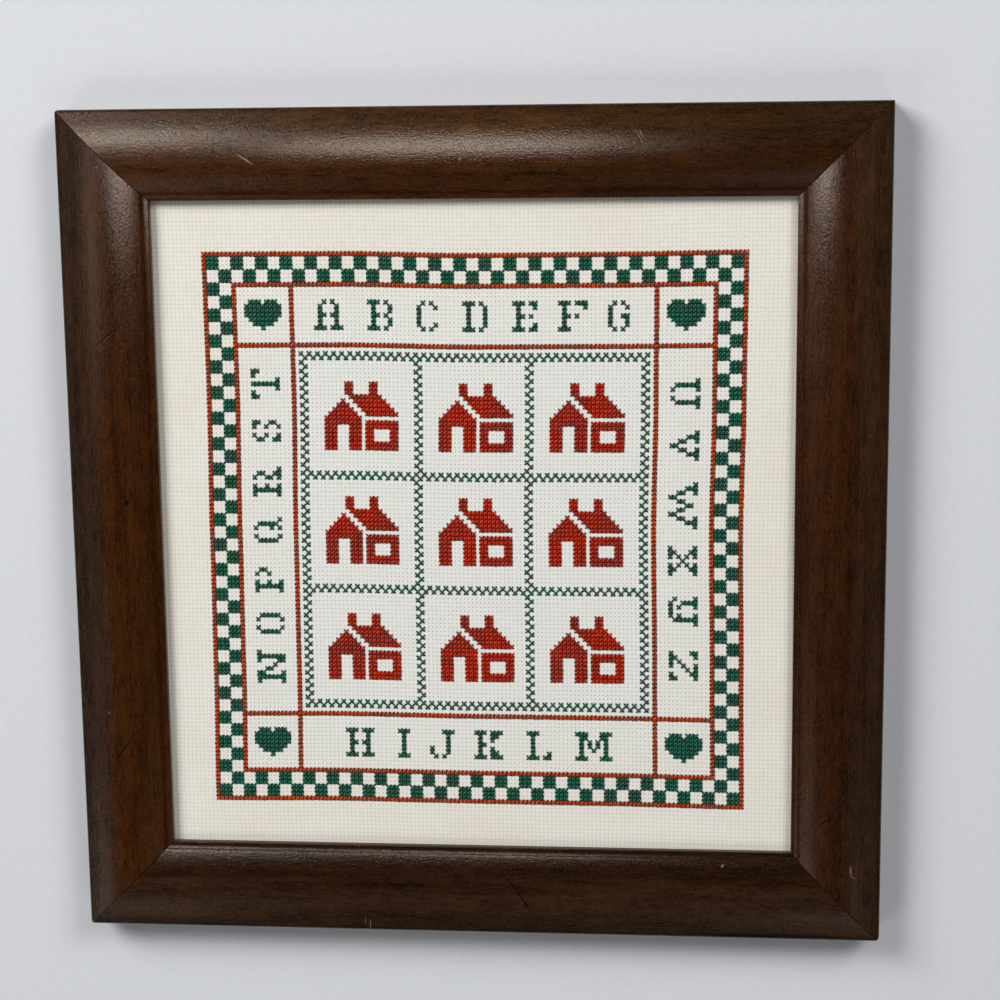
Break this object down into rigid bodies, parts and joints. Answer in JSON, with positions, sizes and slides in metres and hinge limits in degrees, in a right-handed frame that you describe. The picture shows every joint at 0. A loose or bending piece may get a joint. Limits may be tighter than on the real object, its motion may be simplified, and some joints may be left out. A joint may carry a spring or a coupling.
{
  "type": "cross stitch sampler in a wooden frame",
  "caption": "Square-cornered wooden picture frame holding a flat counted cross stitch sampler of houses, hearts and letters, stretched over a back board.",
  "frame": {"origin": "middle of the frame's flat back, on the surface that it lies on", "axes": "+X to the picture's right, +Y to the picture's top, +Z out of its face; the frame lies face up on its back"},
  "size_m": [0.35, 0.36, 0.0176],
  "materials": {
    "stained_wood": "walnut stain under satin varnish, grain along each rail, a few old scratches and nicks",
    "counted_cloth": "off-white block weave cotton with green, brick red and rust cotton cross stitches",
    "hardboard": "plain brown pressed board"
  },
  "bodies": {
    "root": {"rail_top": "stained_wood", "rail_bottom": "stained_wood", "rail_left": "stained_wood", "rail_right": "stained_wood", "stretched_cloth": "counted_cloth", "back_board": "hardboard"}
  },
  "joints": []
}
